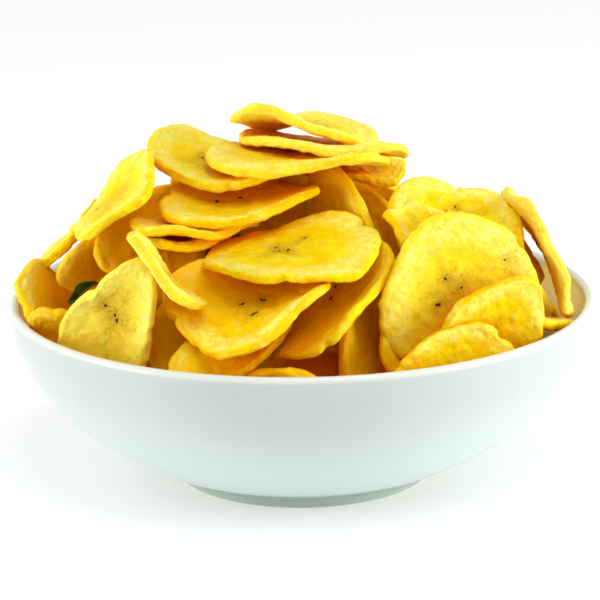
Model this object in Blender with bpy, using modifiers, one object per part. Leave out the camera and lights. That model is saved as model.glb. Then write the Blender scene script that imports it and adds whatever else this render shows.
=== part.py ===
"""Banana chips heaped in a small white porcelain bowl, with a fried leaf among them.

The bowl is a turned shell on a foot ring. The heap is one solid: a low core that fills the
bowl, with every chip that shows fused on at true size. The chips seen from the front are
placed one by one, and the rest of the heap is laid by a rule.
"""

import math
import random
from collections import namedtuple
from functools import cache

import bmesh
import bpy
import numpy as np
from mathutils import Matrix, Vector
from mathutils.bvhtree import BVHTree

MM = 0.001

# Bowl
BOWL_RADIUS = 80.0 * MM
BOWL_HEIGHT = 50.0 * MM
FOOT_RADIUS = 35.5 * MM
FOOT_HEIGHT = 4.0 * MM
FOOT_WIDTH = 5.5 * MM
FOOT_RECESS = 2.5 * MM
FOOT_CHAMFER = 0.5 * MM
WALL = 2.6 * MM
FLOOR_Z = 7.0 * MM
FLARE_OUT = 1.38
FLARE_UP = 1.13
BOWL_STEPS = 48
WALL_STEPS = 9
LIP_STEPS = 4

# Core of the heap
CORE_GAP = 0.4 * MM
CORE_EDGE_Z = 27.0 * MM
CORE_TOP_Z = 68.0 * MM
CORE_FALL = 1.6
CORE_STEPS = 24
CORE_ROWS = 5

# A chip: a thick puffed rim round a thin sunk middle
RIM_HALF = 1.35 * MM
MIDDLE_HALF = 0.8 * MM
RIM_START = 0.5
RIM_CREST = 0.87
UNEVEN = ((2, 0.03), (3, 0.05), (4, 0.03), (5, 0.025), (7, 0.012))
RIPPLE = 0.9 * MM
SWELL = 0.35 * MM
FRONT_SIDES, FRONT_BANDS = 14, 6
FILLER_SIDES, FILLER_BANDS = 12, 4

# A chip as it lies: its middle in mm; how its face leans, as turn (0 front, 90 right), rise
# (90 flat) and spin of its long way, in degrees; its length and width in mm; how far its ends,
# its sides and its corners bend, in mm; and how much wider its one end is than its middle.
Chip = namedtuple("Chip", "name place lean size bend taper", defaults=((0, 0, 0), 0))

FRONT_CHIPS = (
    Chip("crown", (2, -2, 98), (-50, 104, 45), (40, 27), (-2, 1, 5), -0.2),
    Chip("crown_edge", (6, -6, 93), (-30, 100, 0), (48, 30), (1, 0, 0)),
    Chip("crown_flat", (0, -12, 91), (-10, 95, -9), (52, 38), (1, -1, -3)),
    Chip("crown_right", (13, 2, 86), (30, 80, -35), (33, 26), (0, 1, 2)),
    Chip("shoulder_cup", (-22, -7, 88), (5, 80, -45), (44, 28), (4, 0, 0), -0.1),
    Chip("shoulder_long", (-16, -20, 80), (-30, 80, 30), (42, 29), (2, 2, -3), -0.2),
    Chip("shoulder_edge", (-28, -21, 75), (5, 95, 15), (36, 27), (1, 0, 0)),
    Chip("shoulder_low", (-32, -22, 71), (5, 95, 10), (26, 24), (1, 1, 0)),
    Chip("shoulder_back", (-36, 2, 70), (-10, 30, 0), (30, 22), (0, 1, 0)),
    Chip("middle_flat", (-3, -40, 73), (-40, 75, 25), (50, 33), (-2, 0, 2), 0.2),
    Chip("middle_cup", (-14, -48, 59), (-40, 65, 0), (46, 38), (7, 0, -2), 0.2),
    Chip("middle_lower", (-19, -52, 49), (-25, 50, 55), (39, 20), (2, 1, 0)),
    Chip("middle_slant", (6, -42, 59), (-45, 50, 75), (44, 34), (2, 4, 1)),
    Chip("middle_upright", (21, -36, 45), (50, 10, 85), (42, 36), (0, 1, 0)),
    Chip("middle_sliver", (-7, -59, 37), (-5, -15, 100), (22, 28)),
    Chip("left_high", (-49, -15, 81), (-80, 45, 95), (31, 32), (2, 0, 2)),
    Chip("left_edge", (-66, 4, 63), (-100, 45, 85), (33, 27), (1, 0, 0)),
    Chip("left_rim", (-68, -12, 50), (65, 20, 5), (24, 28), (0, -1, 1), -0.1),
    Chip("left_low", (-58, -27, 40), (-20, -10, -45), (39, 23), (1, 1, -1), 0.2),
    Chip("left_front", (-50, -43, 52), (-25, 0, 60), (43, 25), (-1, 2, 1), -0.2),
    Chip("left_behind", (-44, -33, 47), (45, 0, 65), (32, 23)),
    Chip("left_spike", (-36, -50, 70), (100, 40, -85), (27, 27), (1, 0, -1)),
    Chip("left_shade", (-40, -13, 67), (10, 30, -10), (29, 28)),
    Chip("left_back", (-52, -10, 60), (20, 0, -5), (28, 20), (0, 1, 0)),
    Chip("right_big", (42, -40, 58), (20, 5, 125), (48, 44), (2, 0, 1), 0.1),
    Chip("right_plain", (50, -44, 50), (15, -5, 55), (37, 28), (-1, 1, 0), -0.4),
    Chip("right_low", (38, -54, 43), (20, 10, 15), (38, 22), (1, -1, -1)),
    Chip("right_high", (42, -25, 74), (30, 50, -30), (39, 34), (1, -1, 0)),
    Chip("right_bump", (33, -32, 75), (35, 55, 50), (20, 23), (0, 1, -2)),
    Chip("right_outer", (65, -14, 65), (95, 25, 75), (39, 32), (-2, 2, 1)),
    Chip("right_shade", (52, -16, 66), (60, 40, 20), (33, 30), (0, 1, 0)),
    Chip("right_rim", (58, -22, 50), (125, 70, -15), (27, 30)),
    Chip("right_inner", (59, -4, 54), (75, 30, 80), (30, 26), (0, 1, 0)),
    Chip("gap_upright", (8, -19, 70), (-50, 10, -40), (54, 30), (-2, 1, 1), -0.2),
    Chip("gap_behind", (19, -17, 65), (-35, 15, -65), (36, 22)),
    Chip("gap_shade", (-4, -8, 76), (-10, 20, 0), (36, 20), (0, 1, 0)),
    Chip("back_high", (-14, 8, 83), (175, 80, 20), (44, 32), (-2, 1, 1)),
    Chip("back_crown", (-12, 27, 72), (170, 60, 10), (42, 34), (1, -1, 1)),
)

# A fried curry leaf caught behind the chips at the left
LEAF = Chip("leaf", (-58, -25, 58), (-30, 25, 40), (18, 9))
LEAF_THICKNESS = 0.8 * MM
LEAF_WAVE = 0.9 * MM
LEAF_TIP = 0.12
LEAF_ROWS, LEAF_COLUMNS = 10, 2

# Rings of the chips laid by rule: distance from the axis, how many, their mean rise, and how
# deep they start under the heap's surface. The deeper ones fill what the first leave open.
RINGS = (
    (66, 12, 36, 0), (53, 10, 46, 0), (38, 8, 58, 0), (22, 5, 68, 0), (6, 2, 78, 0),
    (62, 11, 30, 4), (48, 9, 40, 4), (32, 6, 50, 4), (14, 3, 60, 4),
    (60, 14, 20, 12), (44, 9, 35, 12), (26, 6, 55, 12), (10, 3, 80, 12),
    (64, 16, 20, 6), (54, 12, 30, 8), (20, 5, 70, 4), (58, 14, -45, 26),
)
HEAP_RADIUS = 72.0
HEAP_EDGE_Z = 50.0
HEAP_TOP_Z = 79.0
HEAP_FALL = 1.8
FRONT_DEPTH = 9.0
SLIDE_STEP = 0.6
SLIDE_STEPS = 28
TRIES = 10
SEED = 5
HEART = Vector((0, 0, 32))
TURN_SPREAD, RISE_SPREAD = 28, 14
FILLER_LONG, FILLER_WIDE = (34, 46), (28, 36)
BEND_SPREAD = 2.5
TAPER_SPREAD = 0.2

MERGE = 0.01 * MM
SHARP = 40.0


# ---- Bowl profile ----

def wall_point(climb):
    """Outer wall from the foot joint (0) to the lip (1), as radius and height."""
    angle = climb * math.pi / 2
    top = BOWL_HEIGHT - WALL / 2
    radius = FOOT_RADIUS + (BOWL_RADIUS - FOOT_RADIUS) * math.sin(angle) ** FLARE_OUT
    height = top - (top - FOOT_HEIGHT) * math.cos(angle) ** FLARE_UP
    return Vector((radius, height))


def inner_point(climb, inset):
    """The wall moved in, square to itself, and never below the floor."""
    step = 0.002
    along = wall_point(min(climb + step, 1.0)) - wall_point(max(climb - step, 0.0))
    along.normalize()
    point = wall_point(climb) + inset * Vector((-along.y, along.x))
    point.y = max(point.y, FLOOR_Z + inset - WALL)
    return point


def spaced(count):
    """Even steps from 0 to 1, both ends included."""
    return [i / (count - 1) for i in range(count)]


def bowl_profile():
    """Closed section, from the middle of the floor over the lip to the middle below."""
    points = [Vector((0, FLOOR_Z))]
    points += [inner_point(climb, WALL) for climb in spaced(WALL_STEPS)]
    lip = Vector((BOWL_RADIUS - WALL / 2, BOWL_HEIGHT - WALL / 2))
    for i in range(1, LIP_STEPS):
        angle = math.pi * (1 - i / LIP_STEPS)
        points.append(lip + WALL / 2 * Vector((math.cos(angle), math.sin(angle))))
    points += [wall_point(climb) for climb in reversed(spaced(WALL_STEPS))]
    foot_inside = FOOT_RADIUS - FOOT_WIDTH
    points += [
        Vector((FOOT_RADIUS - FOOT_CHAMFER, FOOT_CHAMFER)),
        Vector((FOOT_RADIUS - 2 * FOOT_CHAMFER, 0)),
        Vector((foot_inside, 0)),
        Vector((foot_inside - FOOT_CHAMFER, FOOT_RECESS)),
        Vector((0, FOOT_RECESS)),
    ]
    return points


def core_profile():
    """Closed section of the core: a low dome down to the wall, then the wall to the floor."""
    wall = [inner_point(climb, WALL + CORE_GAP) for climb in spaced(WALL_STEPS)]
    wall = [point for point in wall if point.y < CORE_EDGE_Z]
    edge = wall[-1]
    dome = []
    for i in range(CORE_ROWS):
        angle = math.pi / 2 * i / CORE_ROWS
        height = edge.y + (CORE_TOP_Z - edge.y) * math.cos(angle) ** CORE_FALL
        dome.append(Vector((edge.x * math.sin(angle), height)))
    return dome + list(reversed(wall)) + [Vector((0, wall[0].y))]


@cache
def free_wall():
    """Heights and radii of the line inside the bowl that the chips stay within."""
    inset = WALL + CORE_GAP + SWELL
    wall = [inner_point(climb, inset) for climb in spaced(4 * WALL_STEPS)]
    return [point.y for point in wall], [point.x for point in wall]


def in_bowl(corners):
    """Whether corners, one to a row, stay clear of the bowl's wall and its lip."""
    heights, radii = free_wall()
    across, height = np.hypot(corners[:, 0], corners[:, 1]), corners[:, 2]
    above = height > BOWL_HEIGHT + CORE_GAP + SWELL
    within = (across < np.interp(height, heights, radii)) & (height > heights[0])
    return bool(np.all(above | within))


# ---- Chips ----

def smooth(share):
    """A soft step from 0 to 1."""
    share = min(max(share, 0.0), 1.0)
    return share * share * (3 - 2 * share)


def half_thickness(reach):
    """Half the thickness from the middle (reach 0) to the edge (reach 1)."""
    if reach > RIM_CREST:
        fall = (reach - RIM_CREST) / (1 - RIM_CREST)
        return RIM_HALF * math.sqrt(max(0.0, 1 - fall * fall))
    rise = smooth((reach - RIM_START) / (RIM_CREST - RIM_START))
    return MIDDLE_HALF + (RIM_HALF - MIDDLE_HALF) * rise


def chip_pose(chip):
    """Place and lean of a chip as one matrix, in metres."""
    turn, rise, spin = (math.radians(angle) for angle in chip.lean)
    return (
        Matrix.Translation(Vector(chip.place) * MM)
        @ Matrix.Rotation(turn, 4, "Z")
        @ Matrix.Rotation(math.pi / 2 - rise, 4, "X")
        @ Matrix.Rotation(spin, 4, "Z")
    )


def press_chip(mesh, chip, swell):
    """Press a unit sphere's vertices flat into the uneven, bent slice, swollen all round."""
    rng = random.Random(chip.name)
    waves = [(n, size * rng.uniform(0.4, 1.0), rng.uniform(0, math.tau)) for n, size in UNEVEN]
    ripple = (rng.choice((3, 4, 5)), rng.uniform(0, math.tau))
    half_long, half_wide = (size * MM / 2 + swell for size in chip.size)
    curl, cross, twist = (bend * MM for bend in chip.bend)
    pose = chip_pose(chip)
    for vertex in mesh.verts:
        reach = min(math.hypot(vertex.co.x, vertex.co.y), 1.0)
        angle = math.atan2(vertex.co.y, vertex.co.x)
        edge = reach * (1 + sum(size * math.cos(n * angle + shift) for n, size, shift in waves))
        u, v = edge * math.cos(angle), edge * math.sin(angle)
        lift = curl * u * u + cross * v * v + twist * u * v
        lift += RIPPLE * reach ** 3 * math.cos(ripple[0] * angle + ripple[1])
        slope = Vector((
            -(2 * curl * u + twist * v) / half_long,
            -(2 * cross * v + twist * u) / half_wide,
            1,
        )).normalized()
        side = (vertex.co.z > 1e-6) - (vertex.co.z < -1e-6)
        middle = Vector((half_long * u, half_wide * v * (1 + chip.taper * u), lift))
        vertex.co = pose @ (middle + slope * side * (half_thickness(reach) + swell))


def chip_mesh(chip, sides, bands, swell=0.0):
    """A chip as a closed mesh, from a sphere with its poles in the middle of the faces."""
    mesh = bmesh.new()
    bmesh.ops.create_uvsphere(mesh, u_segments=sides, v_segments=bands, radius=1.0)
    press_chip(mesh, chip, swell)
    return mesh


def surface_z(distance):
    """Height in mm of the ruled part of the heap at a distance in mm from the axis."""
    fall = (distance / HEAP_RADIUS) ** HEAP_FALL
    return HEAP_EDGE_Z + (HEAP_TOP_Z - HEAP_EDGE_Z) * (1 - fall)


def ruled_chip(rng, name, azimuth, distance, rise, drop):
    """A chip of the ruled part, lying near the heap's surface and leaning outwards."""
    height = surface_z(distance) - drop
    place = (distance * math.sin(azimuth), -distance * math.cos(azimuth), height)
    lean = (
        math.degrees(azimuth) + rng.uniform(-TURN_SPREAD, TURN_SPREAD),
        rise + rng.uniform(-RISE_SPREAD, RISE_SPREAD),
        rng.uniform(0, 180),
    )
    size = (rng.uniform(*FILLER_LONG), rng.uniform(*FILLER_WIDE))
    bend = [rng.uniform(-BEND_SPREAD, BEND_SPREAD) for _ in range(3)]
    taper = rng.uniform(-TAPER_SPREAD, TAPER_SPREAD)
    chip = Chip(name, place, lean, size, bend, taper)
    return slid(chip, FRONT_DEPTH * max(0.0, math.cos(azimuth / 2)) ** 2)


def inwards(chip, depth):
    """The move, in mm, that takes a chip a depth closer to the heart of the heap."""
    return (HEART - Vector(chip.place)).normalized() * depth


def slid(chip, depth):
    """The chip moved a depth closer to the heart of the heap."""
    return chip._replace(place=Vector(chip.place) + inwards(chip, depth))


def shell(chip, sides, bands):
    """A chip's corners, one to a row, and its faces, to test where it fits."""
    mesh = chip_mesh(chip, sides, bands)
    corners = np.array([vertex.co for vertex in mesh.verts])
    faces = [[vertex.index for vertex in face.verts] for face in mesh.faces]
    mesh.free()
    return corners, faces


def settle(chip, placed):
    """Slide a ruled chip inwards to the first place where it just bites into another."""
    corners, faces = shell(chip, FILLER_SIDES, FILLER_BANDS)
    was_held, was_tree = None, None
    for step in range(SLIDE_STEPS):
        depth = step * SLIDE_STEP
        moved = corners + np.array(inwards(chip, depth)) * MM
        tree = BVHTree.FromPolygons(moved.tolist(), faces)
        held = any(tree.overlap(other) for other in placed) if in_bowl(moved) else None
        if was_held is True and held is False:
            placed.append(was_tree)
            return slid(chip, depth - SLIDE_STEP)
        if was_held is False and held is True:
            placed.append(tree)
            return slid(chip, depth)
        was_held, was_tree = held, tree
    return None


def ruled_chips(core):
    """The chips of the back, the sides and the gaps, laid ring by ring."""
    rng = random.Random(SEED)
    placed = [BVHTree.FromObject(core, bpy.context.evaluated_depsgraph_get())]
    for chip in FRONT_CHIPS:
        corners, faces = shell(chip, FRONT_SIDES, FRONT_BANDS)
        placed.append(BVHTree.FromPolygons(corners.tolist(), faces))
    chips = []
    for ring, (distance, count, rise, drop) in enumerate(RINGS):
        start = rng.uniform(0, math.tau)
        for i in range(count):
            azimuth = math.remainder(start + math.tau * i / count, math.tau)
            for _ in range(TRIES):
                chip = ruled_chip(rng, f"ring{ring}_{i}", azimuth, distance, rise, drop)
                chip = settle(chip, placed)
                if chip:
                    chips.append(chip)
                    break
    return chips


# ---- Objects ----

def new_material(name, colour, roughness):
    """A plain Principled material."""
    material = bpy.data.materials.new(name)
    material.use_nodes = True
    surface = material.node_tree.nodes["Principled BSDF"]
    surface.inputs["Base Color"].default_value = (*colour, 1)
    surface.inputs["Roughness"].default_value = roughness
    surface.inputs["Metallic"].default_value = 0.0
    material.diffuse_color = (*colour, 1)
    return material


def new_object(name, mesh, collection):
    """A bmesh handed over to a new object in a collection."""
    data = bpy.data.meshes.new(name)
    mesh.to_mesh(data)
    mesh.free()
    made = bpy.data.objects.new(name, data)
    collection.objects.link(made)
    return made


def turned(name, profile, steps, collection):
    """A section swept once round the Z axis."""
    mesh = bmesh.new()
    line = [mesh.verts.new((point.x, 0, point.y)) for point in profile]
    for start, end in zip(line, line[1:]):
        mesh.edges.new((start, end))
    made = new_object(name, mesh, collection)
    screw = made.modifiers.new("Turn", "SCREW")
    screw.steps = screw.render_steps = steps
    screw.use_merge_vertices = True
    screw.merge_threshold = MERGE
    screw.use_smooth_shade = True
    return made


def evaluated(made):
    """The object's mesh with its modifiers applied."""
    graph = bpy.context.evaluated_depsgraph_get()
    return bpy.data.meshes.new_from_object(made.evaluated_get(graph))


def leaf(collection):
    """A thin wavy leaf, pointed at both ends."""
    mesh = bmesh.new()
    bmesh.ops.create_grid(mesh, x_segments=LEAF_ROWS, y_segments=LEAF_COLUMNS, size=1.0)
    bmesh.ops.triangulate(mesh, faces=mesh.faces)
    length, width = (size * MM / 2 for size in LEAF.size)
    pose = chip_pose(LEAF)
    for vertex in mesh.verts:
        along, across = vertex.co.x, vertex.co.y
        spread = width * (LEAF_TIP + (1 - LEAF_TIP) * math.cos(along * math.pi / 2))
        wave = LEAF_WAVE * math.sin(3 * along) + LEAF_WAVE * abs(across)
        vertex.co = pose @ Vector((length * along, spread * across, wave))
    made = new_object(LEAF.name, mesh, collection)
    thicken = made.modifiers.new("Thickness", "SOLIDIFY")
    thicken.thickness = LEAF_THICKNESS
    thicken.offset = 0.0
    return made


def bodies(mesh):
    """The connected bodies of a bmesh, as lists of faces."""
    left = set(mesh.faces)
    found = []
    while left:
        front = [left.pop()]
        body = list(front)
        while front:
            face = front.pop()
            near = {other for edge in face.edges for other in edge.link_faces} & left
            left -= near
            front += near
            body += near
        found.append(body)
    return found


def keep_largest(data):
    """Drop sealed hollows and loose scraps, and keep the one large body."""
    mesh = bmesh.new()
    mesh.from_mesh(data)
    found = sorted(bodies(mesh), key=len)
    for body in found[:-1]:
        bmesh.ops.delete(mesh, geom=body, context="FACES")
    bmesh.ops.delete(mesh, geom=[v for v in mesh.verts if not v.link_faces], context="VERTS")
    mesh.to_mesh(data)
    mesh.free()


def heap(collection, pieces):
    """The core and every chip, joined into one solid."""
    made = turned("chips", core_profile(), CORE_STEPS, collection)
    for chip in FRONT_CHIPS:
        new_object(chip.name, chip_mesh(chip, FRONT_SIDES, FRONT_BANDS, SWELL), pieces)
    for chip in ruled_chips(made):
        new_object(chip.name, chip_mesh(chip, FILLER_SIDES, FILLER_BANDS, SWELL), pieces)
    join = made.modifiers.new("Join", "BOOLEAN")
    join.operation = "UNION"
    join.operand_type = "COLLECTION"
    join.collection = pieces
    join.solver = "MANIFOLD"
    joined = evaluated(made)
    made.modifiers.clear()
    made.data = joined
    for piece in list(pieces.objects):
        bpy.data.objects.remove(piece)
    keep_largest(joined)
    joined.shade_smooth()
    joined.set_sharp_from_angle(angle=math.radians(SHARP))
    return made


def main():
    """Build the whole object."""
    for old in list(bpy.data.objects):
        bpy.data.objects.remove(old)
    scene = bpy.context.scene.collection
    parts = bpy.data.collections.new("banana_chips_in_bowl")
    pieces = bpy.data.collections.new("heap_pieces")
    scene.children.link(parts)
    scene.children.link(pieces)
    bowl = turned("bowl", bowl_profile(), BOWL_STEPS, parts)
    bowl.data.materials.append(new_material("porcelain", (0.84, 0.88, 0.86), 0.15))
    chips = heap(parts, pieces)
    chips.data.materials.append(new_material("fried_banana", (0.86, 0.55, 0.06), 0.45))
    leaf(parts).data.materials.append(new_material("fried_leaf", (0.10, 0.16, 0.02), 0.5))


if __name__ == "__main__":
    main()
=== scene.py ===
"""Banana chips heaped in a white porcelain bowl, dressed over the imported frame.

The chips, the bowl, the leaf and the core under the chips are made again with a fine surface,
from the same sizes and rules as the solids that they replace. The core that shows is lower than
the solid's, so that the gaps between the chips are deep, and the leaf is shrunk and folded.
"""

import math
import random
from collections import namedtuple
from functools import cache

import bmesh
import bpy
import numpy as np
from mathutils import Matrix, Vector, noise
from mathutils.bvhtree import BVHTree


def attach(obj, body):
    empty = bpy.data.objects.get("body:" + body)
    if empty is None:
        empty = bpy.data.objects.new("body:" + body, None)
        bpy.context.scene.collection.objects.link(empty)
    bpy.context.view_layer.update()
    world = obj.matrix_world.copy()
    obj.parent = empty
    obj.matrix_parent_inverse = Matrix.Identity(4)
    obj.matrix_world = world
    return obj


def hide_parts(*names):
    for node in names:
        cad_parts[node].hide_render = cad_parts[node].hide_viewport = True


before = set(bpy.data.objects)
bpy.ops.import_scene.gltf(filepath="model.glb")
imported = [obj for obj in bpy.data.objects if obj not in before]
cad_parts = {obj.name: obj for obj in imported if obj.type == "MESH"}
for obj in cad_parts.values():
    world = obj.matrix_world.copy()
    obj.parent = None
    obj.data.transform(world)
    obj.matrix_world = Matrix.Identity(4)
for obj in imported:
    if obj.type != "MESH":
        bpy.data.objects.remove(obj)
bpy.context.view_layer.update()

MM = 0.001

# Bowl
BOWL_RADIUS = 80.0 * MM
BOWL_HEIGHT = 50.0 * MM
FOOT_RADIUS = 35.5 * MM
FOOT_HEIGHT = 4.0 * MM
FOOT_WIDTH = 5.5 * MM
FOOT_RECESS = 2.5 * MM
FOOT_CHAMFER = 0.5 * MM
WALL = 2.6 * MM
FLOOR_Z = 7.0 * MM
FLARE_OUT = 1.38
FLARE_UP = 1.13
WALL_STEPS = 9
FINE_BOWL_STEPS = 192
FINE_WALL_STEPS = 48
FINE_LIP_STEPS = 14

# Core of the heap: the solids', on which the ruled chips are laid, and the fine one that shows,
# with lumps on it, which are sunk by a share of their height and grow over a run above its edge
CORE_GAP = 0.4 * MM
CORE_EDGE_Z = 27.0 * MM
CORE_TOP_Z = 68.0 * MM
CORE_FALL = 1.6
CORE_STEPS = 24
CORE_ROWS = 5
FINE_CORE_TOP_Z = 62.0 * MM
FINE_CORE_FALL = 2.6
FINE_CORE_STEPS = 96
FINE_CORE_ROWS = 36
FINE_CORE_WALL_STEPS = 30
CORE_LUMP = 1.6 * MM
CORE_LUMP_WIDTH = 9.0 * MM
CORE_LUMP_SINK = 0.5
CORE_LUMP_RUN = 10.0 * MM

# A chip: a thick puffed rim round a thin sunk middle, with a rounded edge
RIM_HALF = 1.35 * MM
MIDDLE_HALF = 0.8 * MM
RIM_START = 0.5
RIM_CREST = 0.87
EDGE_POWER, FINE_EDGE_POWER = 2.0, 3.2
ON_EDGE = 1e-6

# Waves in a chip's outline: how many, and how large as a share of its size, of which a chip has
# a part by chance; and the ripples of its face
UNEVEN = ((2, 0.03), (3, 0.05), (4, 0.03), (5, 0.025), (7, 0.012))
UNEVEN_PART = (0.4, 1.0)
RIPPLE = 0.9 * MM
RIPPLES = (3, 4, 5)

# How much the solids' chips are swollen, which ruled chips keep off the bowl's wall as well,
# and how finely chips are made to test where they fit
SWELL = 0.35 * MM
FRONT_SIDES, FRONT_BANDS = 14, 6
FILLER_SIDES, FILLER_BANDS = 12, 4

# A chip as it lies: its middle in mm; how its face leans, as turn (0 front, 90 right), rise
# (90 flat) and spin of its long way, in degrees; its length and width in mm; how far its ends,
# its sides and its corners bend, in mm; and how much wider its one end is than its middle.
Chip = namedtuple("Chip", "name place lean size bend taper", defaults=((0, 0, 0), 0))

FRONT_CHIPS = (
    Chip("crown", (2, -2, 98), (-50, 104, 45), (40, 27), (-2, 1, 5), -0.2),
    Chip("crown_edge", (6, -6, 93), (-30, 100, 0), (48, 30), (1, 0, 0)),
    Chip("crown_flat", (0, -12, 91), (-10, 95, -9), (52, 38), (1, -1, -3)),
    Chip("crown_right", (13, 2, 86), (30, 80, -35), (33, 26), (0, 1, 2)),
    Chip("shoulder_cup", (-22, -7, 88), (5, 80, -45), (44, 28), (4, 0, 0), -0.1),
    Chip("shoulder_long", (-16, -20, 80), (-30, 80, 30), (42, 29), (2, 2, -3), -0.2),
    Chip("shoulder_edge", (-28, -21, 75), (5, 95, 15), (36, 27), (1, 0, 0)),
    Chip("shoulder_low", (-32, -22, 71), (5, 95, 10), (26, 24), (1, 1, 0)),
    Chip("shoulder_back", (-36, 2, 70), (-10, 30, 0), (30, 22), (0, 1, 0)),
    Chip("middle_flat", (-3, -40, 73), (-40, 75, 25), (50, 33), (-2, 0, 2), 0.2),
    Chip("middle_cup", (-14, -48, 59), (-40, 65, 0), (46, 38), (7, 0, -2), 0.2),
    Chip("middle_lower", (-19, -52, 49), (-25, 50, 55), (39, 20), (2, 1, 0)),
    Chip("middle_slant", (6, -42, 59), (-45, 50, 75), (44, 34), (2, 4, 1)),
    Chip("middle_upright", (21, -36, 45), (50, 10, 85), (42, 36), (0, 1, 0)),
    Chip("middle_sliver", (-7, -59, 37), (-5, -15, 100), (22, 28)),
    Chip("left_high", (-49, -15, 81), (-80, 45, 95), (31, 32), (2, 0, 2)),
    Chip("left_edge", (-66, 4, 63), (-100, 45, 85), (33, 27), (1, 0, 0)),
    Chip("left_rim", (-68, -12, 50), (65, 20, 5), (24, 28), (0, -1, 1), -0.1),
    Chip("left_low", (-58, -27, 40), (-20, -10, -45), (39, 23), (1, 1, -1), 0.2),
    Chip("left_front", (-50, -43, 52), (-25, 0, 60), (43, 25), (-1, 2, 1), -0.2),
    Chip("left_behind", (-44, -33, 47), (45, 0, 65), (32, 23)),
    Chip("left_spike", (-36, -50, 70), (100, 40, -85), (27, 27), (1, 0, -1)),
    Chip("left_shade", (-40, -13, 67), (10, 30, -10), (29, 28)),
    Chip("left_back", (-52, -10, 60), (20, 0, -5), (28, 20), (0, 1, 0)),
    Chip("right_big", (42, -40, 58), (20, 5, 125), (48, 44), (2, 0, 1), 0.1),
    Chip("right_plain", (50, -44, 50), (15, -5, 55), (37, 28), (-1, 1, 0), -0.4),
    Chip("right_low", (38, -54, 43), (20, 10, 15), (38, 22), (1, -1, -1)),
    Chip("right_high", (42, -25, 74), (30, 50, -30), (39, 34), (1, -1, 0)),
    Chip("right_bump", (33, -32, 75), (35, 55, 50), (20, 23), (0, 1, -2)),
    Chip("right_outer", (65, -14, 65), (95, 25, 75), (39, 32), (-2, 2, 1)),
    Chip("right_shade", (52, -16, 66), (60, 40, 20), (33, 30), (0, 1, 0)),
    Chip("right_rim", (58, -22, 50), (125, 70, -15), (27, 30)),
    Chip("right_inner", (59, -4, 54), (75, 30, 80), (30, 26), (0, 1, 0)),
    Chip("gap_upright", (8, -19, 70), (-50, 10, -40), (54, 30), (-2, 1, 1), -0.2),
    Chip("gap_behind", (19, -17, 65), (-35, 15, -65), (36, 22)),
    Chip("gap_shade", (-4, -8, 76), (-10, 20, 0), (36, 20), (0, 1, 0)),
    Chip("back_high", (-14, 8, 83), (175, 80, 20), (44, 32), (-2, 1, 1)),
    Chip("back_crown", (-12, 27, 72), (170, 60, 10), (42, 34), (1, -1, 1)),
)

# A fried curry leaf caught behind the chips at the left, shrunk and folded up along its midrib
# by degrees on each side
LEAF = Chip("leaf", (-58, -25, 58), (-30, 25, 40), (18, 9))
LEAF_SHRINK = 0.55
LEAF_FOLD = 50.0
LEAF_THICKNESS = 0.5 * MM
LEAF_WAVE, LEAF_WAVES = 0.9 * MM, 3
LEAF_TIP = 0.12
FINE_LEAF_ROWS, FINE_LEAF_COLUMNS = 60, 24

# Its veins: the midrib's width as a share of the leaf's half, and how many pairs of side veins
# there are, how they slant, and how steeply and how late they rise
LEAF_VEIN_LIFT = 0.15 * MM
MIDRIB_WIDTH = 0.09
SIDE_VEINS = 7
SIDE_VEIN_SLANT = 0.5
SIDE_VEIN_STEEP, SIDE_VEIN_LATE = 5, 4

# Rings of the chips laid by rule: distance from the axis, how many, their mean rise, and how
# deep they start under the heap's surface. The deeper ones fill what the first leave open.
RINGS = (
    (66, 12, 36, 0), (53, 10, 46, 0), (38, 8, 58, 0), (22, 5, 68, 0), (6, 2, 78, 0),
    (62, 11, 30, 4), (48, 9, 40, 4), (32, 6, 50, 4), (14, 3, 60, 4),
    (60, 14, 20, 12), (44, 9, 35, 12), (26, 6, 55, 12), (10, 3, 80, 12),
    (64, 16, 20, 6), (54, 12, 30, 8), (20, 5, 70, 4), (58, 14, -45, 26),
)

# The surface that the rings follow, in mm, and how much deeper they start at the front, where
# they only fill the gaps between the front chips
HEAP_RADIUS = 72.0
HEAP_EDGE_Z = 50.0
HEAP_TOP_Z = 79.0
HEAP_FALL = 1.8
FRONT_DEPTH = 9.0

# How a ruled chip slides towards the heart of the heap, in mm, until it just bites into
# another, and how many chips are tried at a place
HEAP_HEART = Vector((0, 0, 32))
SLIDE_STEP = 0.6
SLIDE_STEPS = 28
TRIES = 10

# How ruled chips differ: degrees of turn and rise, length and width, bends in mm and taper
SEED = 5
TURN_SPREAD, RISE_SPREAD = 28, 14
FILLER_LONG, FILLER_WIDE = (34, 46), (28, 36)
BEND_SPREAD = 2.5
TAPER_SPREAD = 0.2

# Corners of a turned section that lie closer than this are one
MERGE = 0.01 * MM

# How often the sphere of a fine chip is split, and the front chips that show so little in the
# photograph that they are split less
FINE_LEVEL, PLAIN_LEVEL = 6, 5
HIDDEN = (
    "left_behind", "left_shade", "left_back", "left_rim", "right_shade", "right_rim",
    "right_inner", "gap_upright", "gap_behind", "gap_shade", "shoulder_back", "middle_sliver",
    "back_high", "back_crown",
)

# The pieces that the front chips make, and how the names of the chips in each of them start
GROUPS = {
    "chips_crown": ("crown", "shoulder", "back"),
    "chips_middle": ("middle", "gap"),
    "chips_left": ("left",),
    "chips_right": ("right",),
}

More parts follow.
